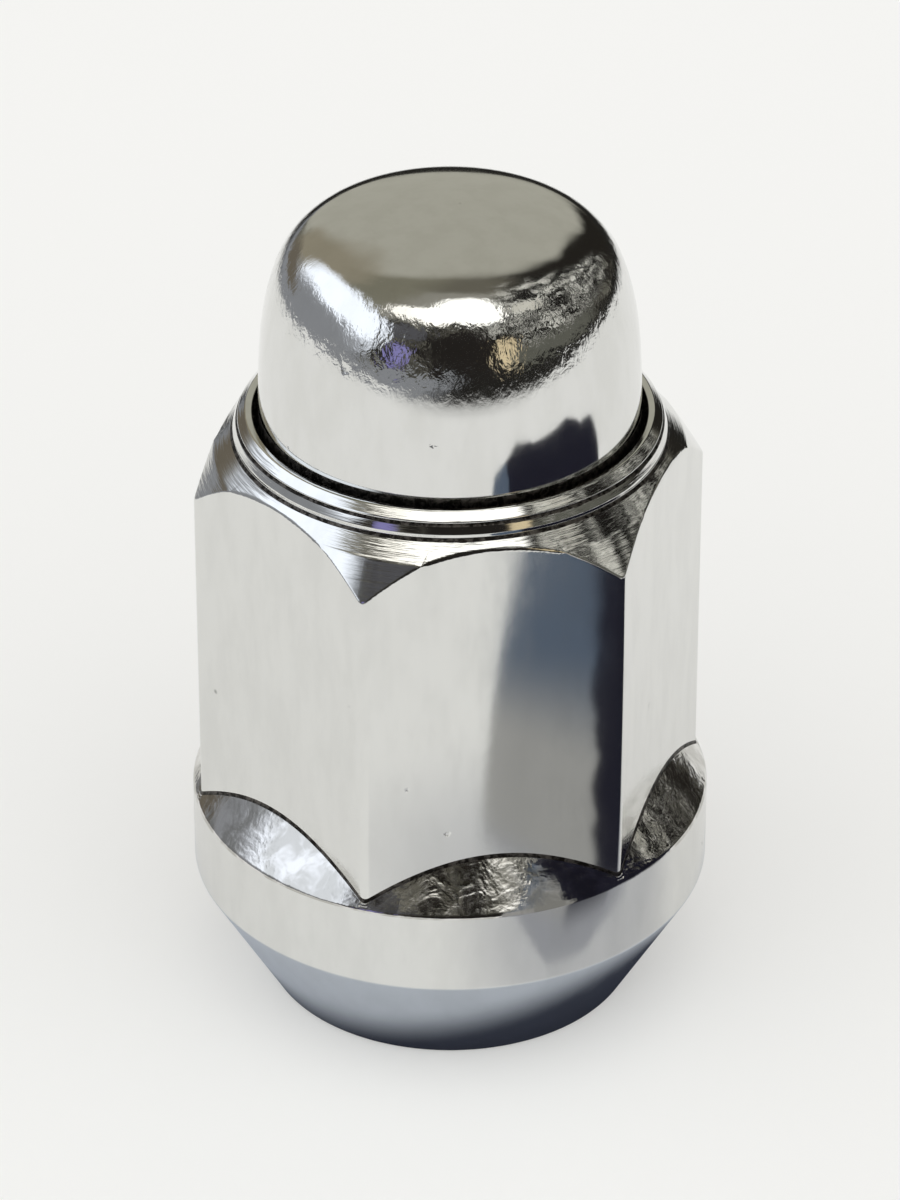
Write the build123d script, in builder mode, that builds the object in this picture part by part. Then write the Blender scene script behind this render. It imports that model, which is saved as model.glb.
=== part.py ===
"""Closed-end bulge acorn lug nut, M12 x 1.5, for a 19 mm wheel wrench.

A cold-forged steel body carries the hex, the bulge and a 60 degree cone seat, and is bored
and tapped right through. A cap drawn from steel sheet closes its top: the flange at the
cap's foot sits in a pocket, and the body's thin collar is rolled in over that flange.

Millimetres. The origin is the centre of the open face, +Z runs up the axis to the cap, and
two of the wrench flats face -Y and +Y.
"""

import os
from math import cos, radians, sin, tan

from build123d import *

# Bore: the tap drill's size for M12 x 1.5, with a lead-in for the stud
bore_radius = 5.25
countersink_radius = 6.8
countersink_angle = 45.0

# Hex. Two cones take its upper corners off, measured from the horizontal: a low one beside
# the collar and a steep one below it
across_flats = 19.0
hex_corner_round = 0.4
chamfer_top_angle = 45.0
chamfer_angle = 57.7
chamfer_knee_offset = 0.45

# Open face and cone seat, the angle measured from the axis
face_radius = 8.0
face_edge_round = 0.15
seat_half_angle = 30.0

# Bulge that stands out past the hex's corners, and the ledge from its top to the flats
bulge_overhang = 0.18
bulge_top_height = 9.12
bulge_round = 0.3
ledge_angle = 49.0

# Collar that stands on the hex's shoulder and is rolled in over the cap's flange: upright at
# its foot, then leaning in a little, then rolled flatter towards the cap
body_height = 27.45
collar_rise = 1.02
collar_inset = 0.38
collar_wall = 0.44
roll_drop = 0.36
roll_side_drop = 0.47
roll_side_run = 0.19
roll_round = 0.15
lip_land = 0.1
lip_thickness = 0.67
lip_round = 0.08

# Drawn cap: one thickness of sheet, a flange, a short neck and a dome whose curve tightens
# upwards, from an almost straight wall through the shoulder and corner to a low crown
cap_sheet = 1.2
flange_thickness = 0.85
flange_width = 0.62
neck_rise = 0.25
dome_rise = 9.15
wall_radius = 40.0
wall_turn = 4.6
shoulder_radius = 12.6
shoulder_turn = 40.0
dome_corner_round = 3.3
crown_radius = 16.7

# Clearances of the cap in its pocket
flange_side_clearance = 0.03
flange_top_clearance = 0.03
lip_clearance = 0.43

# Radii, from the hex inwards
half_flats = across_flats / 2
corner_radius = half_flats / cos(radians(30))
bulge_radius = corner_radius + bulge_overhang
chamfer_knee_radius = half_flats + chamfer_knee_offset
collar_radius = half_flats - collar_inset
roll_radius = collar_radius - roll_side_run
pocket_radius = collar_radius - collar_wall
flange_radius = pocket_radius - flange_side_clearance
cap_radius = flange_radius - flange_width
lip_radius = cap_radius + lip_clearance

# Heights, from the top of the collar down and up
shoulder_height = body_height - collar_rise
roll_height = body_height - roll_drop
roll_side_height = roll_height - roll_side_drop
pocket_top_height = body_height - lip_thickness
cap_seat_height = pocket_top_height - flange_top_clearance - flange_thickness
neck_top_height = body_height + neck_rise
overall_height = neck_top_height + dome_rise

# Runs and rises of the cones: the ledge ends a little way inside the flats
seat_height = (bulge_radius - face_radius) / tan(radians(seat_half_angle))
countersink_depth = (countersink_radius - bore_radius) / tan(radians(countersink_angle))
chamfer_knee_drop = (chamfer_knee_radius - collar_radius) * tan(
    radians(chamfer_top_angle)
)
chamfer_knee_height = shoulder_height - chamfer_knee_drop
chamfer_drop = (corner_radius - chamfer_knee_radius) * tan(radians(chamfer_angle))
ledge_run = bulge_radius - half_flats + bulge_round
ledge_rise = ledge_run * tan(radians(ledge_angle))


def dome_section(inset):
    """Half section of the dome and its neck, moved in by the inset."""
    foot = Vector(cap_radius - inset, neck_top_height)
    top = Vector(0, overall_height - inset)
    with BuildSketch(Plane.XZ) as section:
        with BuildLine():
            wall = JernArc(foot, (0, 1), wall_radius - inset, wall_turn)
            shoulder = JernArc(
                wall @ 1, wall % 1, shoulder_radius - inset, shoulder_turn
            )
            Polyline(
                shoulder @ 1,
                (0, (shoulder @ 1).Y),
                (0, cap_seat_height),
                (foot.X, cap_seat_height),
                foot,
            )
        make_face()
        # The crown cuts the shoulder's arc off, and the corner between them is round
        with Locations(top - Vector(0, crown_radius - inset)):
            Circle(crown_radius - inset, mode=Mode.INTERSECT)
        corner = section.vertices().sort_by_distance((foot.X, top.Y))[0]
        fillet(corner, dome_corner_round - inset)
    return section.sketch


with BuildPart() as nut_body:
    # Hex, from inside the bulge up to the shoulder
    with BuildSketch(Plane.XY.offset(seat_height)) as hex_section:
        RegularPolygon(half_flats, 6, major_radius=False)
        fillet(hex_section.vertices(), hex_corner_round)
    extrude(amount=shoulder_height - seat_height)

    # The hex's upper corners are turned down to two cones
    with BuildSketch(Plane.XZ):
        with BuildLine():
            Polyline(
                (0, 0),
                (corner_radius, 0),
                (corner_radius, chamfer_knee_height - chamfer_drop),
                (chamfer_knee_radius, chamfer_knee_height),
                (collar_radius, shoulder_height),
                (0, shoulder_height),
                close=True,
            )
        make_face()
    revolve(axis=Axis.Z, mode=Mode.INTERSECT)

    # Seat, bulge and ledge
    with BuildSketch(Plane.XZ):
        with BuildLine():
            FilletPolyline(
                (0, 0),
                (face_radius, 0),
                (bulge_radius, seat_height),
                (bulge_radius, bulge_top_height),
                (bulge_radius - ledge_run, bulge_top_height + ledge_rise),
                (0, bulge_top_height + ledge_rise),
                radius=[0, face_edge_round, bulge_round, bulge_round, 0, 0],
                close=True,
            )
        make_face()
    revolve(axis=Axis.Z)

    # Collar, solid at first, with the outline that rolling gives it
    with BuildSketch(Plane.XZ):
        with BuildLine():
            FilletPolyline(
                (0, cap_seat_height),
                (collar_radius, cap_seat_height),
                (collar_radius, roll_side_height),
                (roll_radius, roll_height),
                (lip_radius + lip_land, body_height),
                (0, body_height),
                radius=[0, 0, roll_round, roll_round, 0, 0],
                close=True,
            )
        make_face()
    revolve(axis=Axis.Z)

    # Countersink, bore, the cap's pocket and the opening inside the lip
    with BuildSketch(Plane.XZ):
        with BuildLine():
            Polyline(
                (0, 0),
                (countersink_radius, 0),
                (bore_radius, countersink_depth),
                (bore_radius, cap_seat_height),
                (pocket_radius, cap_seat_height),
                (pocket_radius, pocket_top_height),
                (lip_radius, pocket_top_height),
                (lip_radius, body_height),
                (0, body_height),
                close=True,
            )
        make_face()
    revolve(axis=Axis.Z, mode=Mode.SUBTRACT)

    # The rolled lip's inner edge is round
    lip_edges = nut_body.edges().group_by(Axis.Z)[-1].sort_by(SortBy.RADIUS)
    fillet(lip_edges[0], lip_round)

with BuildPart() as end_cap:
    # Dome and neck
    revolve(dome_section(inset=0), axis=Axis.Z)

    # Flange that the collar holds down
    with BuildSketch(Plane.XY.offset(cap_seat_height)):
        Circle(flange_radius)
    extrude(amount=flange_thickness)

    # Hollow, which leaves one thickness of sheet
    revolve(dome_section(inset=cap_sheet), axis=Axis.Z, mode=Mode.SUBTRACT)

nut_body.part.label = "nut_body"
end_cap.part.label = "end_cap"

os.makedirs("parts", exist_ok=True)
export_step(nut_body.part, "parts/nut_body.step")
export_step(end_cap.part, "parts/end_cap.step")
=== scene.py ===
"""Looks for the closed-end bulge acorn lug nut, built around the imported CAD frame.

The forged body and the drawn cap are rebuilt as fine closed meshes on the CAD's own
sizes, with a real M12 x 1.5 thread in the bore, and both get a procedural chrome
finish. Lengths are in millimetres until a mesh is made, and in metres in Blender.
"""

from math import acos, atan2, cos, degrees, pi, radians, sin, sqrt, tan

import bpy
from mathutils import Matrix, Vector


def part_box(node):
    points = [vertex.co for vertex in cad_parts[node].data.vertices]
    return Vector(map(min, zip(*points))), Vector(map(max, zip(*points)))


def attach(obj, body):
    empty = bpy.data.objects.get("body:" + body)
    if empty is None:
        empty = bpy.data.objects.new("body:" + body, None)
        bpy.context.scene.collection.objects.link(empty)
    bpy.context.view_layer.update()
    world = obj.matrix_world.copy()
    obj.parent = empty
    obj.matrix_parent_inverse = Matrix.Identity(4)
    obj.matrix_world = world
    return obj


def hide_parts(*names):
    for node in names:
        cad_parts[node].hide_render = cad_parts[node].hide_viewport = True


MM = 0.001

# -------------------------------------------------------------------------------- frame

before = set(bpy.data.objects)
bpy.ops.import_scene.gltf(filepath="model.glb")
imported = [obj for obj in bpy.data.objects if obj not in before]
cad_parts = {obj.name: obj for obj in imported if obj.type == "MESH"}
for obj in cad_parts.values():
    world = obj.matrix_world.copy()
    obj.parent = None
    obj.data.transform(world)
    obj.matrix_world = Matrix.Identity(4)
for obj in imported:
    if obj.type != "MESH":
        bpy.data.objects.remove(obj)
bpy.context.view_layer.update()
_, body_high = (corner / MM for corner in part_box("nut_body"))
cap_low, cap_high = (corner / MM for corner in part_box("end_cap"))

# The body: the same lengths as in the CAD's source
half_flats = 9.5
hex_corner_round = 0.4
bulge_radius = 11.15
bulge_top = 9.12
ledge_slope = tan(radians(49))
face_radius = 8.0
seat_top = 5.455
collar_radius = 9.12
roll_radius = 8.93
lip_radius = 8.46
pocket_radius = 8.68
body_top = body_high.z
shoulder_height = body_top - 1.02
roll_height = body_top - 0.36
roll_side_height = body_top - 0.83
pocket_top = body_top - 0.67
cap_seat = cap_low.z
knee_radius = 9.95
knee_height = shoulder_height - (knee_radius - collar_radius)
chamfer_slope = tan(radians(57.7))

# The bore and its thread
bore_radius = 5.25
thread_root_radius = 6.0
pitch = 1.5
countersink_radius = 6.8
top_mouth_radius = thread_root_radius + 0.15

# The cap: its dome is a wall, a shoulder, a corner and a crown, one arc each
dome_top = cap_high.z
neck_top = 27.7
cap_radius = 8.03
flange_radius = 8.65
flange_top = cap_seat + 0.85
wall_radius = 40.0
wall_turn = radians(4.6)
shoulder_radius = 12.6
dome_corner = 3.3
crown_radius = 16.7
cap_sheet = 1.2

# How fine the meshes are: columns on each flat and round the cap, rows up the dome,
# and how close to a round its first straight row lies
flat_columns = 36
cap_columns = 240
dome_rows = 96
row_beside_round = 0.04


# ---------------------------------------------------------------------- profile helpers


def arc_corner(before, corner, after, radius, steps):
    """Points of the round that replaces a corner, always steps + 1 of them."""
    to_before = (before - corner).normalized()
    to_after = (after - corner).normalized()
    half_turn = acos(max(-1.0, min(1.0, to_before.dot(to_after)))) / 2
    reach = radius / tan(half_turn)
    limit = 0.45 * min((before - corner).length, (after - corner).length)
    if reach > limit:
        radius *= limit / reach
        reach = limit
    centre = corner + (to_before + to_after).normalized() * (radius / sin(half_turn))
    start = corner + to_before * reach - centre
    end = corner + to_after * reach - centre
    sweep = start.angle(end, 0.0)
    points = []
    for step in range(steps + 1):
        share = step / steps
        if sweep < 1e-6:
            points.append(centre + start.lerp(end, share))
        else:
            spoke = start * sin((1 - share) * sweep) + end * sin(share * sweep)
            points.append(centre + spoke / sin(sweep))
    return points


def profile(corners):
    """Rounds a half section's corners and adds rows along its straight runs.

    A corner is (radius from the axis, height, round, steps of the round, rows after
    it). The two end points stay sharp. A row right beside each round keeps the flat
    runs flat when they are shaded smooth.
    """
    spots = [Vector((c[0], c[1])) for c in corners]
    last = len(spots) - 1
    rounds = []
    for i, (_, _, radius, steps, _) in enumerate(corners):
        if i in (0, last) or radius <= 0:
            rounds.append([spots[i]])
        else:
            around = spots[i - 1], spots[i], spots[i + 1]
            rounds.append(arc_corner(*around, radius, steps))
    points = []
    for i in range(last):
        start, end = rounds[i][-1], rounds[i + 1][0]
        points += rounds[i]
        rows = corners[i][4]
        length = (end - start).length
        share = min(0.2, row_beside_round / max(length, 1e-6))
        if rows:
            points.append(start.lerp(end, share))
            for row in range(1, rows):
                points.append(start.lerp(end, row / rows))
            points.append(start.lerp(end, 1 - share))
    return points + rounds[-1]


def build_piece(name, vertices, faces, slots, materials):
    """Makes a smooth mesh object from millimetre points."""
    mesh = bpy.data.meshes.new(name)
    mesh.from_pydata([tuple(c * MM for c in v) for v in vertices], [], faces)
    for material in materials:
        mesh.materials.append(material)
    mesh.polygons.foreach_set("material_index", slots)
    mesh.polygons.foreach_set("use_smooth", [True] * len(faces))
    mesh.update()
    piece = bpy.data.objects.new(name, mesh)
    bpy.context.scene.collection.objects.link(piece)
    return piece


# ----------------------------------------------------------------------------- nut body

round_centre = (half_flats - hex_corner_round) / cos(radians(30))
round_reach = degrees(
    atan2(hex_corner_round * 0.5, round_centre + hex_corner_round * cos(radians(30)))
)


def hex_radius(angle):
    """Distance from the axis to the hex's wall. Corners lie at 0, 60, ... degrees."""
    from_corner = (angle + 30) % 60 - 30
    if abs(from_corner) < round_reach:
        turn = radians(from_corner)
        return round_centre * cos(turn) + sqrt(
            hex_corner_round**2 - (round_centre * sin(turn)) ** 2
        )
    return half_flats / cos(radians(30 - abs(from_corner)))


def column_angles():
    """Column angles in degrees, close together round each hex corner."""
    angles = []
    beside = 0.25
    run = 60 - 2 * round_reach - 2 * beside
    for corner in range(0, 360, 60):
        for share in (-1, -0.66, -0.33, 0, 0.33, 0.66):
            angles.append(corner + share * round_reach)
        angles.append(corner + round_reach)
        for step in range(flat_columns):
            angles.append(corner + round_reach + beside + run * step / flat_columns)
        angles.append(corner + 60 - round_reach - beside)
    return angles


# The body's finishes, and the painted shade of its grooves, in the order of its
# material slots. The cap has the first four.
OUTER, LEDGE, PAINTED_SHADE, BORE, TURNED = range(5)


def outer_corners(angle):
    """Half section of the body outside the bore, for one column.

    Each corner is as profile() takes it, with the finish of the run after it.
    """
    wall = hex_radius(angle)
    ledge_height = bulge_top + (bulge_radius - wall) * ledge_slope
    if wall > knee_radius:
        chamfer_height = knee_height - (wall - knee_radius) * chamfer_slope
        knee = (knee_radius, knee_height)
    else:
        chamfer_height = shoulder_height - (wall - collar_radius)
        middle = (wall + collar_radius) / 2
        knee = (middle, shoulder_height - (middle - collar_radius))
    lip_reach = 0.3
    return [
        # the open face, the seat, the bulge and the hex
        (countersink_radius, 0, 0.06, 2, 2, OUTER),
        (face_radius, 0, 0.15, 4, 8, OUTER),
        (bulge_radius, seat_top, 0.35, 6, 4, OUTER),
        (bulge_radius, bulge_top, 0.3, 6, 6, LEDGE),
        (wall, ledge_height, 0.22, 5, 14, OUTER),
        # the chamfer's two cones, and the groove at the collar's foot, painted dark as
        # shade
        (wall, chamfer_height, 0.34, 6, 2, TURNED),
        (*knee, 1.2, 4, 3, TURNED),
        (collar_radius + 0.1, shoulder_height - 0.09, 0.02, 2, 1, PAINTED_SHADE),
        (collar_radius - 0.02, shoulder_height + 0.05, 0.03, 2, 1, TURNED),
        # the collar's wall, and the groove under its rolled edge, painted dark as shade
        (collar_radius, roll_side_height, 0.08, 3, 1, TURNED),
        (roll_radius + 0.06, roll_height - 0.16, 0.02, 1, 0, PAINTED_SHADE),
        (roll_radius - 0.04, roll_height - 0.08, 0.02, 1, 0, PAINTED_SHADE),
        (roll_radius, roll_height, 0.08, 3, 2, TURNED),
        # the lip, drawn further in than the solid's, and the pocket under it; the lip's
        # inside and the pocket are painted dark as shade
        (lip_radius + 0.1, body_top, 0.15, 4, 1, TURNED),
        (lip_radius - lip_reach, body_top - 0.05, 0.1, 4, 1, TURNED),
        (lip_radius, body_top - 0.3, 0, 1, 1, PAINTED_SHADE),
        (lip_radius, pocket_top, 0, 1, 0, PAINTED_SHADE),
        (pocket_radius, pocket_top, 0, 1, 0, PAINTED_SHADE),
        (pocket_radius, cap_seat, 0, 1, 0, PAINTED_SHADE),
        (top_mouth_radius, cap_seat, 0, 1, 0, BORE),
    ]


def thread_points():
    """One pitch of the internal thread: (share of the pitch, radius from the axis)."""
    half = [
        (-0.5, thread_root_radius),
        (-0.435, thread_root_radius - 0.005),
        (-0.405, thread_root_radius - 0.05),
        (-0.27, bore_radius + 0.375),
        (-0.135, bore_radius + 0.04),
        (-0.105, bore_radius),
    ]
    return half + [(-share, radius) for share, radius in reversed(half[1:])]


def make_nut_body(materials):
    """Closed mesh: the outer skin column by column, and the bore along its helix."""
    angles = column_angles()
    columns = len(angles)
    section = thread_points()
    per_pitch = len(section)
    low, high = 0.0, cap_seat
    turns = int(high / pitch) + 3

    vertices, faces, slots = [], [], []
    index = {}

    def vertex(column, radius, height):
        key = (column % columns, round(radius, 5), round(height, 5))
        if key not in index:
            turn = radians(angles[column % columns])
            index[key] = len(vertices)
            vertices.append((radius * cos(turn), radius * sin(turn), height))
        return index[key]

    def face(loop, slot):
        ring = [v for i, v in enumerate(loop) if v != loop[i - 1]]
        if len(set(ring)) >= 3:
            faces.append(ring)
            slots.append(slot)

    # Outer skin
    skins = []
    for column in range(columns):
        points = profile([c[:5] for c in outer_corners(angles[column])])
        skins.append([vertex(column, p.x, p.y) for p in points])

    # Each corner's points, and the rows after it, take the corner's own finish, but
    # the corner over the ledge is painted dark as shade. It is the same in every
    # column.
    run_slots = []
    corners = outer_corners(angles[0])
    for i, (_, _, radius, steps, rows, slot) in enumerate(corners):
        end_point = i in (0, len(corners) - 1)
        own = 1 if end_point or radius <= 0 else steps + 1
        over_ledge = i > 0 and corners[i - 1][5] == LEDGE
        run_slots += [PAINTED_SHADE if over_ledge else slot] * own
        run_slots += [slot] * (rows + 1 if rows else 0)
    for column in range(columns):
        a, b = skins[column], skins[(column + 1) % columns]
        for row in range(len(a) - 1):
            face([a[row], b[row], b[row + 1], a[row + 1]], run_slots[row])

    # Bore
    def thread_vertex(column, row):
        lap, place = divmod(row, per_pitch)
        share, radius = section[place]
        turn = angles[column % columns] / 360 + (1 if column >= columns else 0)
        height = pitch * (lap - 1 + share + turn)
        if height <= low:
            return vertex(column, countersink_radius, low)
        if height >= high:
            return vertex(column, top_mouth_radius, high)
        countersink = countersink_radius - (height - low)
        top_mouth = top_mouth_radius - (high - height)
        return vertex(column, max(radius, countersink, top_mouth), height)

    for column in range(columns):
        for row in range(turns * per_pitch):
            face(
                [
                    thread_vertex(column, row + 1),
                    thread_vertex(column + 1, row + 1),
                    thread_vertex(column + 1, row),
                    thread_vertex(column, row),
                ],
                BORE,
            )
    return build_piece("forged_body", vertices, faces, slots, materials)


# ---------------------------------------------------------------------------------- cap


def dome_bends():
    """Where the dome's curve changes: (run from its foot, lean there in radians)."""
    wall_centre = Vector((cap_radius - wall_radius, neck_top))
    outward = Vector((cos(wall_turn), sin(wall_turn)))
    shoulder_centre = wall_centre + outward * (wall_radius - shoulder_radius)
    crown_centre = Vector((0, dome_top - crown_radius))

    # the corner's circle touches the shoulder's and the crown's from inside
    shoulder_gap = shoulder_radius - dome_corner
    crown_gap = crown_radius - dome_corner
    between = crown_centre - shoulder_centre
    along = shoulder_gap**2 - crown_gap**2 + between.length_squared
    along /= 2 * between.length
    across = sqrt(shoulder_gap**2 - along**2)
    unit = between.normalized()
    corners = [
        shoulder_centre + unit * along + Vector((-unit.y, unit.x)) * side * across
        for side in (-1, 1)
    ]
    corner_centre = max(corners, key=lambda corner: corner.x + corner.y)

    from_shoulder = corner_centre - shoulder_centre
    from_crown = corner_centre - crown_centre
    leans = [
        0.0,
        wall_turn,
        atan2(from_shoulder.y, from_shoulder.x),
        atan2(from_crown.y, from_crown.x),
        pi / 2,
    ]
    radii = (wall_radius, shoulder_radius, dome_corner, crown_radius)
    bends = [(0.0, 0.0)]
    for radius, low, high in zip(radii, leans, leans[1:]):
        bends.append((bends[-1][0] + radius * (high - low), high))
    return bends


def dome_line(soft):
    """Half section of the dome from its foot to the top.

    Its curvature changes over a soft run where two arcs meet, as a drawn sheet's does.
    """
    bends = dome_bends()
    total = bends[-1][0]

    def sharp_lean(run):
        for (start, low), (end, high) in zip(bends, bends[1:]):
            if run <= end:
                return low + (high - low) * (run - start) / (end - start)

    def soft_lean(run):
        samples = 9
        leans = []
        for sample in range(samples):
            at = run + soft * (2 * sample / (samples - 1) - 1)
            leans.append(
                pi - sharp_lean(2 * total - at) if at > total else sharp_lean(at)
            )
        return sum(leans) / samples

    fine = 1200
    step = total / fine
    points = [Vector((0, dome_top))]
    for i in range(fine):
        lean = soft_lean(total - (i + 0.5) * step)
        points.append(points[-1] + Vector((sin(lean), -cos(lean))) * step)

    # the soft runs move the foot a hair, so it is put back in its place
    foot = points[-1]
    wide, tall = cap_radius / foot.x, (dome_top - neck_top) / (dome_top - foot.y)
    for point in points:
        point.x *= wide
        point.y = dome_top - (dome_top - point.y) * tall

    # rows lie closest together where the lean changes fastest
    run_per_radian = 12
    apart = (pi / 2 + total / run_per_radian) / dome_rows
    rows = [0]
    for i in range(1, fine):
        run = total - rows[-1] * step
        turn = abs(soft_lean(run) - soft_lean(total - i * step))
        if turn + (i - rows[-1]) * step / run_per_radian > apart:
            rows.append(i)
    return [points[i] for i in [*rows, fine]][::-1]


def make_end_cap(materials):
    """Closed mesh of revolution: dome, neck, flange and hollow."""
    outer = dome_line(soft=0.7)
    foot = profile(
        [
            (flange_radius, cap_seat, 0, 1, 0),
            (flange_radius, flange_top, 0, 1, 1),
            (cap_radius, flange_top, 0.3, 6, 2),
            (cap_radius, neck_top, 0, 1, 0),
            (outer[1].x, outer[1].y, 0, 1, 0),
        ]
    )
    line = foot[:-1] + outer[1:]

    # the hollow, from its top down, a sheet's thickness inside every third row
    hollow = [Vector((cap_radius - cap_sheet, cap_seat))]
    for before, point, after in zip(outer[::3], outer[1::3], outer[2::3]):
        along = (after - before).normalized()
        moved = point + Vector((-along.y, along.x)) * cap_sheet
        if moved.x > 0.3:
            hollow.append(moved)
    hollow.append(Vector((0, dome_top - cap_sheet)))
    hollow.reverse()

    vertices, faces, slots = [], [], []

    def ring(point):
        if point.x < 1e-9:
            vertices.append((0, 0, point.y))
            return [len(vertices) - 1] * cap_columns
        first = len(vertices)
        for column in range(cap_columns):
            turn = 2 * pi * column / cap_columns
            vertices.append((point.x * cos(turn), point.x * sin(turn), point.y))
        return list(range(first, first + cap_columns))

    def join(a, b, slot):
        for column in range(cap_columns):
            after = (column + 1) % cap_columns
            loop = [a[column], a[after], b[after], b[column]]
            loop = [v for i, v in enumerate(loop) if v != loop[i - 1]]
            faces.append(loop)
            slots.append(slot)

    # painted shade darkens the gap under the lip and a hair above it
    painted_shade_top = body_top + 0.04
    rings = [ring(p) for p in line]
    for point, a, b in zip(line, rings, rings[1:]):
        join(a, b, PAINTED_SHADE if point.y < painted_shade_top else OUTER)
    hollow_rings = [ring(p) for p in hollow]
    for a, b in zip(hollow_rings, hollow_rings[1:]):
        join(a, b, BORE)
    join(hollow_rings[-1], rings[0], BORE)
    return build_piece("drawn_cap", vertices, faces, slots, materials)


# ---------------------------------------------------------------------------- materials


class Nodes:
    """Short calls for building a node tree. Most return the new node's result."""

    def __init__(self, tree):
        self.tree = tree
        tree.nodes.clear()

    def add(self, kind, **settings):
        node = self.tree.nodes.new(kind)
        for name, value in settings.items():
            setattr(node, name, value)
        return node

    def set(self, socket, value):
        """Links another node's result to the socket, or sets a plain value."""
        if isinstance(value, bpy.types.NodeSocket):
            self.tree.links.new(value, socket)
        elif socket.type == "RGBA":
            socket.default_value = (*value, 1.0)
        else:
            socket.default_value = value

    def math(self, operation, *values):
        node = self.add("ShaderNodeMath", operation=operation)
        for socket, value in zip(node.inputs, values):
            self.set(socket, value)
        return node.outputs[0]

    def vector(self, operation, *values):
        node = self.add("ShaderNodeVectorMath", operation=operation)
        for socket, value in zip(node.inputs, values):
            self.set(socket, value)
        scalar = operation in ("DOT_PRODUCT", "LENGTH", "DISTANCE")
        return node.outputs["Value" if scalar else "Vector"]

    def smooth(self, value, start, end, low=0.0, high=1.0):
        """Goes smoothly from low at start to high at end."""
        node = self.add("ShaderNodeMapRange", interpolation_type="SMOOTHSTEP")
        for name, number in (
            ("Value", value),
            ("From Min", start),
            ("From Max", end),
            ("To Min", low),
            ("To Max", high),
        ):
            self.set(node.inputs[name], number)
        return node.outputs["Result"]

    def mix(self, factor, first, second):
        """Colour between the first, at 0, and the second, at 1."""
        node = self.add("ShaderNodeMix", data_type="RGBA")
        for place, value in ((0, factor), (6, first), (7, second)):
            self.set(node.inputs[place], value)
        return node.outputs[2]

    def noise(
        self, vector, scale, detail=2.0, roughness=0.5, distortion=0.0, result="Fac"
    ):
        node = self.add("ShaderNodeTexNoise")
        self.set(node.inputs["Vector"], vector)
        for name, value in (
            ("Scale", scale),
            ("Detail", detail),
            ("Roughness", roughness),
            ("Distortion", distortion),
        ):
            self.set(node.inputs[name], value)
        return node.outputs[result]

    def z(self, vector):
        node = self.add("ShaderNodeSeparateXYZ")
        self.set(node.inputs[0], vector)
        return node.outputs["Z"]

    def stretch(self, vector, scale):
        node = self.add("ShaderNodeMapping")
        self.set(node.inputs["Vector"], vector)
        node.inputs["Scale"].default_value = scale
        return node.outputs["Vector"]

    def bump(self, height, distance, normal=None):
        """Normal for a height of 0 to 1, where 1 is the distance in millimetres."""
        node = self.add("ShaderNodeBump")
        node.inputs["Strength"].default_value = 1.0
        node.inputs["Distance"].default_value = distance * MM
        self.set(node.inputs["Height"], height)
        if normal is not None:
            self.set(node.inputs["Normal"], normal)
        return node.outputs["Normal"]

    def emission(self, colour):
        node = self.add("ShaderNodeEmission")
        self.set(node.inputs["Color"], colour)
        return node.outputs[0]

    def blend(self, factor, first, second):
        """Shader between the first, at 0, and the second, at 1."""
        node = self.add("ShaderNodeMixShader")
        for socket, value in zip(node.inputs, (factor, first, second)):
            self.set(socket, value)
        return node.outputs[0]

    def place(self, scale=1.0):
        """The place on the object, in metres or scaled from them."""
        place = self.add("ShaderNodeTexCoord").outputs["Object"]
        return self.stretch(place, (scale, scale, scale)) if scale != 1.0 else place

    def surface(self, shader):
        """Ends the tree of a material."""
        output = self.add("ShaderNodeOutputMaterial")
        self.set(output.inputs["Surface"], shader)


def new_material(name):
    """An empty material and the calls for its nodes."""
    material = bpy.data.materials.new(name)
    material.use_nodes = True
    return material, Nodes(material.node_tree)


def metal(n, colour, roughness, normal):
    """Ends the tree of a material as bare metal."""
    shader = n.add("ShaderNodeBsdfPrincipled")
    shader.inputs["Metallic"].default_value = 1.0
    n.set(shader.inputs["Base Color"], colour)
    n.set(shader.inputs["Roughness"], roughness)
    n.set(shader.inputs["Normal"], normal)
    n.surface(shader.outputs[0])


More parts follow.
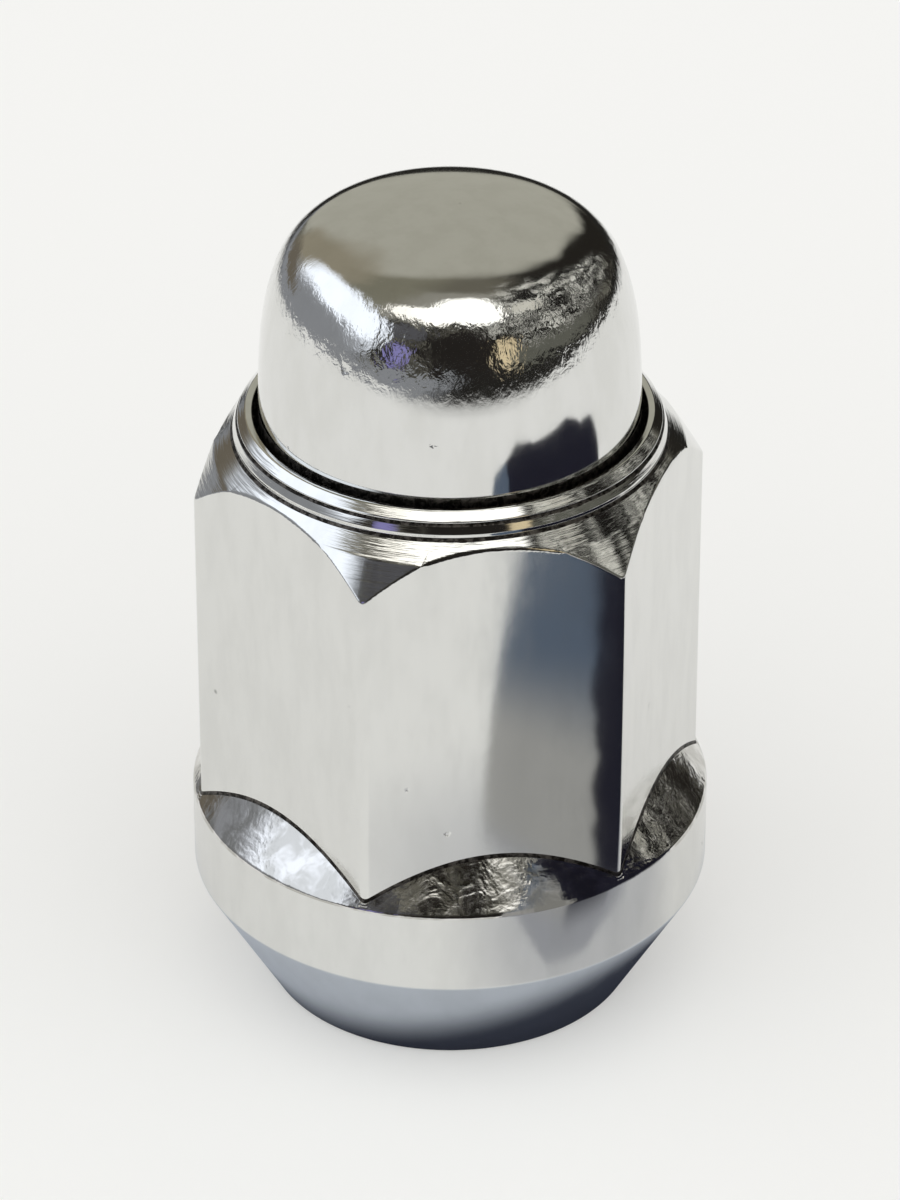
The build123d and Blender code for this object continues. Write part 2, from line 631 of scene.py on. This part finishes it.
def chrome(name, tint, dark_tint, roughness, waves, ripple=None, turned=0.0, nicks=()):
    """Polished plating: slow undulation, fine orange peel, a few pits, faint haze.

    A ripple is (depth, then the heights where it begins, is full, fades and ends).
    Turned is the depth of the marks that run round the axis. A nick is (x, y, z, size).
    All lengths are in millimetres.
    """
    material, n = new_material(name)
    place = n.place(1 / MM)
    # waves of about 3, 1 and 0.2 mm
    slow = n.noise(n.stretch(place, (1.0, 1.0, 0.6)), 0.3, 1.0)
    medium = n.noise(place, 1.1, 2.0)
    fine = n.noise(place, 6.0, 2.0)
    haze = n.noise(n.stretch(place, (1.0, 1.0, 0.35)), 0.8, 4.0, 0.6)
    colour = n.mix(n.smooth(haze, 0.35, 0.7), tint, dark_tint)
    rough = n.smooth(haze, 0.3, 0.75, roughness * 0.8, roughness * 1.3)

    normal = n.bump(slow, waves * 8.0)
    normal = n.bump(medium, waves * 1.6, normal)
    normal = n.bump(fine, waves * 0.12, normal)
    if ripple:
        depth, begin, full, fade, end = ripple
        height = n.z(place)
        rise, fall = n.smooth(height, begin, full), n.smooth(height, end, fade)
        crumple = n.noise(n.stretch(place, (1.0, 1.0, 0.7)), 2.2, 3.0, 0.6, 0.3)
        crumple = n.math("MULTIPLY", crumple, n.math("MULTIPLY", rise, fall))
        normal = n.bump(crumple, depth, normal)

    if turned:
        # noise that is long round the axis and narrow across the cones and walls
        flat = n.vector("MULTIPLY", place, (1.0, 1.0, 0.0))
        heading = n.vector("MULTIPLY", n.vector("NORMALIZE", flat), (4.0, 4.0, 0.0))
        along = n.vector("DOT_PRODUCT", place, (0.0, 0.0, 5.0))
        radius = n.math("MULTIPLY", n.vector("LENGTH", flat), 5.0)
        spun = n.add("ShaderNodeCombineXYZ")
        n.set(spun.inputs["Z"], n.math("SUBTRACT", along, radius))
        spun = n.vector("ADD", heading, spun.outputs[0])
        normal = n.bump(n.noise(spun, 1.0, 3.0, 0.6), turned, normal)

    # a few small pits, dark inside
    cells = n.add("ShaderNodeTexVoronoi")
    n.set(cells.inputs["Vector"], place)
    cells.inputs["Scale"].default_value = 0.42
    wanted = n.smooth(n.noise(place, 0.5, 0.0), 0.56, 0.6)
    pit = n.math("MULTIPLY", n.smooth(cells.outputs["Distance"], 0.07, 0.02), wanted)
    normal = n.bump(n.math("MULTIPLY", pit, -1.0), 0.01, normal)
    colour = n.mix(n.math("MULTIPLY", pit, 0.6), colour, (0.12, 0.12, 0.11))

    if nicks:
        nearest = 9.0  # farther off than a nick reaches
        for x, y, z, size in nicks:
            off = n.math("MULTIPLY", n.vector("DISTANCE", place, (x, y, z)), 0.5 / size)
            nearest = n.math("MINIMUM", off, nearest)
        ragged = n.math("ADD", nearest, n.noise(place, 3.0, 2.0, 0.6))
        normal = n.bump(n.smooth(ragged, 0.6, 1.0), 0.02, normal)
    metal(n, colour, rough, normal)
    return material


def rough_chrome(name, tint, dark_tint, roughness, grain, depth):
    """Plating over an unpolished surface: its grain breaks reflections into specks."""
    material, n = new_material(name)
    place = n.place(1 / MM)
    coarse = n.noise(place, grain, 3.0, 0.6, 0.4)
    small = n.noise(place, grain * 4, 3.0, 0.6)
    colour = n.mix(n.smooth(coarse, 0.4, 0.62), dark_tint, tint)
    rough = n.smooth(small, 0.3, 0.7, roughness * 0.6, roughness * 1.4)
    normal = n.bump(coarse, depth)
    normal = n.bump(small, depth * 0.16, normal)
    metal(n, colour, rough, normal)
    return material


body_materials = [
    chrome(
        "chrome_polished",
        tint=(0.74, 0.74, 0.72),
        dark_tint=(0.70, 0.70, 0.68),
        roughness=0.13,
        waves=0.0011,
        nicks=(
            (-5.6, -9.3, 18.5, 0.2),
            (-7.1, -6.7, 14.8, 0.25),
            (-8.9, -3.6, 23.0, 0.3),
            (-3.6, -9.5, 14.8, 0.15),
            (-1.9, -9.5, 12.4, 0.15),
            (7.4, -6.2, 15.5, 0.2),
        ),
    ),
    rough_chrome(
        "chrome_on_forging",
        tint=(0.73, 0.72, 0.7),
        dark_tint=(0.5, 0.49, 0.46),
        roughness=0.1,
        grain=0.8,
        depth=0.035,
    ),
    # painted shade: near black, for the grooves, corners and gaps where shade falls
    rough_chrome(
        "groove_painted_shade",
        tint=(0.12, 0.11, 0.1),
        dark_tint=(0.02, 0.018, 0.016),
        roughness=0.5,
        grain=3.0,
        depth=0.01,
    ),
    rough_chrome(
        "chrome_thin_in_bore",
        tint=(0.68, 0.66, 0.61),
        dark_tint=(0.53, 0.5, 0.45),
        roughness=0.13,
        grain=1.1,
        depth=0.004,
    ),
    chrome(
        "chrome_turned",
        tint=(0.74, 0.74, 0.72),
        dark_tint=(0.68, 0.68, 0.66),
        roughness=0.07,
        waves=0.0012,
        turned=0.01,
    ),
]
cap_materials = [
    chrome(
        "chrome_drawn",
        tint=(0.75, 0.75, 0.735),
        dark_tint=(0.71, 0.71, 0.69),
        roughness=0.085,
        waves=0.0009,
        ripple=(0.028, 31.5, 33.0, 34.6, 36.2),
        nicks=(
            (0.5, 0.4, 36.85, 0.25),
            (-5.3, -5.4, 32.8, 0.3),
            (-2.2, -7.7, 30.2, 0.2),
        ),
    ),
    body_materials[LEDGE],
    body_materials[PAINTED_SHADE],
    rough_chrome(
        "bare_sheet",
        tint=(0.5, 0.49, 0.47),
        dark_tint=(0.34, 0.33, 0.31),
        roughness=0.35,
        grain=1.5,
        depth=0.01,
    ),
]

forged_body = make_nut_body(body_materials)
drawn_cap = make_end_cap(cap_materials)
for piece, node, slot in (
    (forged_body, "nut_body", "chrome_body"),
    (drawn_cap, "end_cap", "chrome_cap"),
):
    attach(piece, "root")
    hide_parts(node)


# ------------------------------------------------------------------------- surroundings

# What the camera sees behind the nut: the world's colour and the table's
PALE = (0.93, 0.925, 0.905)

# The lying nut that the chrome mirrors: where its open end is, and where it points
neighbour_place = Vector((4.1, -24.7, 10.6))
neighbour_azimuth = 69
neighbour_elevation = -4.4

# Where the photograph was taken from, and what is in the middle of the frame
camera_place = Vector((-40.54, -213.98, 152.54))
camera_target = Vector((0, 0, 17.9))


def toward(azimuth, elevation):
    """Unit vector; azimuth 0 is +Y, behind the nut, and 90 is +X."""
    a, e = radians(azimuth), radians(elevation)
    return Vector((sin(a) * cos(e), cos(a) * cos(e), sin(e)))


def room_panel(
    n, direction, under, azimuth, elevation, width, height, tilt, soft, colour
):
    """Paints a soft-edged panel of a room, with round corners, over what is under it.

    Width and height are half angles in degrees, tilt turns it clockwise, and soft is
    the share of its size over which its edge fades.
    """
    centre = toward(azimuth, elevation)
    right = Vector((cos(radians(azimuth)), -sin(radians(azimuth)), 0))
    up = right.cross(centre)
    turn = radians(tilt)
    right, up = right * cos(turn) - up * sin(turn), right * sin(turn) + up * cos(turn)
    ahead = n.vector("DOT_PRODUCT", direction, tuple(centre))
    reach = 0.0
    for axis, half in ((right, width), (up, height)):
        across = n.vector("DOT_PRODUCT", direction, tuple(axis / tan(radians(half))))
        across = n.math("ABSOLUTE", n.math("DIVIDE", across, ahead))
        reach = n.math("ADD", n.math("POWER", across, 3.0), reach)
    mask = n.smooth(reach, (1 + soft) ** 3, (1 - soft) ** 3)
    mask = n.math("MULTIPLY", mask, n.math("GREATER_THAN", ahead, 0.02))
    return n.mix(mask, under, colour)


def make_world():
    """A room for the chrome to mirror, an even soft light, and a pale view."""
    world = bpy.data.worlds.new("studio")
    bpy.context.scene.world = world
    world.use_nodes = True
    world.cycles.sampling_method = "NONE"
    n = Nodes(world.node_tree)
    straight = n.add("ShaderNodeTexCoord").outputs["Generated"]

    # the room's edges waver a little, so that no panel looks ruled
    waver = n.noise(straight, 3.5, 2.0, result="Color")
    waver = n.vector("SUBTRACT", waver, (0.5, 0.5, 0.5))
    waver = n.vector("MULTIPLY", waver, (0.2, 0.2, 0.2))
    direction = n.vector("ADD", straight, waver)

    # the room is dim clutter, with brighter and more broken things on the right
    clutter = n.noise(straight, 6.0, 3.0, 0.6)
    clutter = n.smooth(clutter, 0.42, 0.75)
    room = n.mix(clutter, (0.018, 0.016, 0.014), (0.3, 0.29, 0.24))
    things = n.noise(straight, 9.0, 4.0, 0.65, 1.2)
    things = n.smooth(things, 0.51, 0.58)
    things = n.mix(things, (0.012, 0.011, 0.01), (0.8, 0.79, 0.72))
    panels = (
        # azimuth, elevation, half width, half height, tilt, softness, colour
        # ceiling
        (0, 78, 45, 38, 0, 0.3, (0.3, 0.29, 0.25)),
        (25, 68, 40, 9, 0, 0.4, (0.15, 0.14, 0.11)),
        (-45, 64, 22, 12, 0, 0.5, (0.22, 0.21, 0.16)),
        # the dark round the camera
        (176, 16, 28, 26, 0, 0.25, (0.02, 0.018, 0.016)),
        # the right side
        (105, 30, 9, 10, 0, 0.6, (0.2, 0.2, 0.16)),
        (125, 5, 30, 6, 0, 0.6, (0.13, 0.13, 0.11)),
        (90, 21, 9, 4, 0, 0.5, (0.02, 0.02, 0.018)),
        (134, 27, 8, 5, 0, 0.5, (0.02, 0.02, 0.018)),
        (98, 42, 48, 28, 0, 0.35, things),
        # behind the nut
        (40, 28, 12, 32, 0, 0.25, (0.02, 0.018, 0.015)),
        (8, 30, 24, 33, 0, 0.15, (0.45, 0.44, 0.375)),
        (-31, 24, 15, 30, 0, 0.35, (0.31, 0.28, 0.21)),
        # the window on the left, and what is under it
        (-80, 26, 38, 27, 0, 0.2, (1.3, 1.38, 1.52)),
        (-72, 5, 36, 15, -6, 0.5, (0.28, 0.29, 0.31)),
        (-32, 2, 13, 9, 0, 0.5, (0.16, 0.14, 0.11)),
        # small things in front
        (-138, 37, 10, 7, 0, 0.6, (0.1, 0.1, 0.11)),
        (-136, 11, 5, 6, 0, 0.7, (0.28, 0.26, 0.55)),
        (156, 12, 4, 9, 0, 0.6, (0.85, 0.7, 0.45)),
        (115, 55, 5, 6, 20, 0.6, (0.7, 0.68, 0.6)),
        # ceiling lights over the camera
        (-142, 63.5, 16, 9.5, -15, 0.12, (1.5, 1.46, 1.36)),
        (-168, 67, 15, 13, 0, 0.12, (1.7, 1.68, 1.6)),
        (158, 68, 12, 21, 0, 0.15, (1.7, 1.68, 1.6)),
    )
    for panel in panels:
        room = room_panel(n, direction, room, *panel)

    # the light comes from all round, more of it from the camera's side
    facing = n.vector("DOT_PRODUCT", straight, (-0.2, -0.98, 0.0))
    sky = n.mix(n.smooth(facing, -0.8, 0.8), (0.4, 0.38, 0.36), (1.52, 1.55, 1.57))

    rays = n.add("ShaderNodeLightPath")
    lit = n.mix(rays.outputs["Is Glossy Ray"], sky, room)
    seen = n.mix(rays.outputs["Is Camera Ray"], lit, PALE)
    background = n.add("ShaderNodeBackground")
    n.set(background.inputs["Color"], seen)
    n.set(n.add("ShaderNodeOutputWorld").inputs["Surface"], background.outputs[0])


def neighbour_painted_glow(name, top, foot):
    """A glow of painted light and shade: one colour where the surface faces up, another
    where it doesn't.
    """
    dark = (0.015, 0.015, 0.025)
    painted_table_reflection = (0.34, 0.35, 0.38)
    material, n = new_material(name)
    geometry = n.add("ShaderNodeNewGeometry")
    painted_light_from_above = n.smooth(n.z(geometry.outputs["Normal"]), 0.2, 0.6)
    colour = n.mix(painted_light_from_above, foot, top)

    # painted shade: the right end is dark, behind an upright edge that wavers a little
    place = geometry.outputs["Position"]
    across = n.vector("DOT_PRODUCT", place, (1.0, 0.225, 0.0))
    wobble = n.math("MULTIPLY", n.noise(place, 400.0, 2.0), 1.2 * MM)
    across = n.math("SUBTRACT", across, wobble)
    colour = n.mix(n.smooth(across, 1.4 * MM, 1.8 * MM), colour, dark)

    # painted reflection: the lowest part glows with the table's colour, as if mirroring
    # it
    low = n.smooth(n.z(place), 8 * MM, 4.5 * MM)
    colour = n.mix(low, colour, painted_table_reflection)
    n.surface(n.emission(colour))
    return material


def make_neighbour():
    """A plain stand-in for the nut that lay beside this one.

    It isn't seen and casts no shadow: it is only what the chrome facing it mirrors.
    It glows with painted light and shade.
    """
    painted_tones = [
        neighbour_painted_glow("neighbour_painted_pale", (0.1, 0.13, 0.18), (0.36, 0.36, 0.35)),
        neighbour_painted_glow("neighbour_painted_dark", (0.015, 0.015, 0.025), (0.1, 0.1, 0.11)),
        neighbour_painted_glow("neighbour_painted_ledge", (0.3, 0.29, 0.22), (0.06, 0.06, 0.06)),
    ]
    # one painted tone of light and shade for each run of the section below, from the
    # open end to the dome
    pale, dark, ledge = range(3)
    bands = (pale, pale, dark, ledge, dark) + (pale,) * 7

    apart = 4
    angles = range(0, 360, apart)
    vertices, faces, slots = [], [], []
    for angle in angles:
        wall = hex_radius(angle)
        section = [
            (countersink_radius, 0),
            (face_radius, 0),
            (bulge_radius, seat_top),
            (bulge_radius, bulge_top),
            (wall, bulge_top + (bulge_radius - wall)),
            (wall, shoulder_height - (wall - collar_radius) * chamfer_slope),
            (collar_radius, shoulder_height),
            (roll_radius, roll_height),
            (cap_radius, neck_top),
            (cap_radius - 0.3, neck_top + 4),
            (cap_radius - 1, neck_top + 6.7),
            (cap_radius - 3, neck_top + 8.4),
            (0.01, dome_top),
        ]
        turn = radians(angle)
        vertices += [(r * cos(turn), r * sin(turn), z) for r, z in section]
    rows = len(section)
    for i in range(len(angles)):
        j = (i + 1) % len(angles)
        for row, band in enumerate(bands):
            a, b = i * rows + row, j * rows + row
            faces.append((a, b, b + 1, a + 1))
            slots.append(band)
    other = build_piece("neighbour", vertices, faces, slots, painted_tones)
    other.data.set_sharp_from_angle(angle=radians(25))

    axis = toward(neighbour_azimuth, neighbour_elevation).normalized()
    side = Vector((0, 0, 1)).cross(axis).normalized()
    turn = Matrix((-side, axis.cross(side), axis)).transposed().to_4x4()
    other.matrix_world = Matrix.Translation(neighbour_place * MM) @ turn
    other.visible_camera = False
    other.visible_shadow = False
    other.visible_diffuse = False


def table_in_chrome(n, place):
    """The table's colour in reflections, with painted shade beneath both nuts."""
    # a painted shadow, an oval under the lying nut
    length, width = 22 * MM, 12 * MM
    centre = neighbour_place * MM + toward(neighbour_azimuth, 0) * length * 0.75
    oval = n.add("ShaderNodeMapping", vector_type="TEXTURE")
    n.set(oval.inputs["Vector"], place)
    oval.inputs["Location"].default_value = (centre.x, centre.y, 0)
    oval.inputs["Rotation"].default_value = (0, 0, radians(90 - neighbour_azimuth))
    oval.inputs["Scale"].default_value = (length, width, 1)
    shade = n.smooth(n.vector("LENGTH", oval.outputs["Vector"]), 1.3, 0.7)
    colour = n.mix(n.math("MULTIPLY", shade, 0.5), PALE, (0.3, 0.31, 0.36))

    # painted shade round this nut, darkest where it stands
    shade = n.smooth(n.vector("LENGTH", place), 17 * MM, 10.5 * MM, 0.0, 0.8)
    colour = n.mix(shade, colour, (0.54, 0.59, 0.68))
    contact = n.vector("DISTANCE", place, (1.0 * MM, -0.3 * MM, 0.0))
    contact = n.smooth(contact, 9.9 * MM, 8.3 * MM, 0.0, 0.95)
    return n.mix(contact, colour, (0.03, 0.035, 0.06))


def make_floor():
    """A pale table top that keeps the nut's shadow.

    The camera sees it a little lifted, as pale as the photograph's. In reflections it
    has painted shade under both nuts, and ends some way off in a painted glow: the dark
    of the room, which is less dark under the window.
    """
    material, n = new_material("table_top")
    place = n.place()
    rays = n.add("ShaderNodeLightPath")
    glossy = rays.outputs["Is Glossy Ray"]
    paint = n.add("ShaderNodeBsdfDiffuse")
    n.set(paint.inputs["Color"], n.mix(glossy, PALE, table_in_chrome(n, place)))
    lift = n.math("MULTIPLY", rays.outputs["Is Camera Ray"], 0.3)
    table = n.blend(lift, paint.outputs[0], n.emission((0.92, 0.915, 0.89)))

    # painted reflection: far off, the table glows with the room's dark, lighter on the
    # window's side
    side = n.smooth(n.vector("DOT_PRODUCT", place, (1.0, 0.0, 0.0)), -0.02, -0.14)
    painted_room_glow = n.emission(n.mix(side, (0.02, 0.019, 0.017), (0.28, 0.29, 0.31)))
    reach = n.vector("LENGTH", n.vector("MULTIPLY", place, (0.45, 1.0, 1.0)))
    far = n.math("MULTIPLY", n.smooth(reach, 0.1, 0.19), glossy)
    n.surface(n.blend(far, table, painted_room_glow))

    half = 3.0
    mesh = bpy.data.meshes.new("table")
    corners = [(-half, -half, 0), (half, -half, 0), (half, half, 0), (-half, half, 0)]
    mesh.from_pydata(corners, [], [(0, 1, 2, 3)])
    mesh.materials.append(material)
    floor = bpy.data.objects.new("table", mesh)
    # a hair under the open face, so that the two don't share a plane
    floor.location.z = -0.02 * MM
    bpy.context.scene.collection.objects.link(floor)


def make_lamp(name, azimuth, elevation, distance, size, power, colour):
    """A round lamp that faces the nut. Neither the camera nor the chrome sees it."""
    lamp = bpy.data.lights.new(name, "AREA")
    lamp.shape = "DISK"
    lamp.size = size
    lamp.energy = power
    lamp.color = colour
    holder = bpy.data.objects.new(name, lamp)
    holder.location = toward(azimuth, elevation) * distance
    holder.rotation_mode = "QUATERNION"
    holder.rotation_quaternion = holder.location.to_track_quat("Z", "Y")
    holder.visible_glossy = False
    holder.visible_camera = False
    bpy.context.scene.collection.objects.link(holder)


def make_camera():
    """Stands where the photograph was taken from and looks at the nut's middle."""
    camera = bpy.data.cameras.new("camera")
    camera.lens = 180
    camera.sensor_width = 36
    camera.clip_start, camera.clip_end = 0.01, 20
    holder = bpy.data.objects.new("camera", camera)
    holder.location = camera_place * MM
    target = camera_target * MM
    holder.rotation_mode = "QUATERNION"
    holder.rotation_quaternion = (target - holder.location).to_track_quat("-Z", "Y")
    bpy.context.scene.collection.objects.link(holder)
    bpy.context.scene.camera = holder


make_world()
make_floor()
make_neighbour()
make_lamp(
    "soft_key",
    azimuth=40,
    elevation=55,
    distance=0.8,
    size=0.4,
    power=0.15,
    colour=(1.0, 0.95, 0.88),
)
make_camera()
bpy.context.scene.view_settings.view_transform = "Standard"
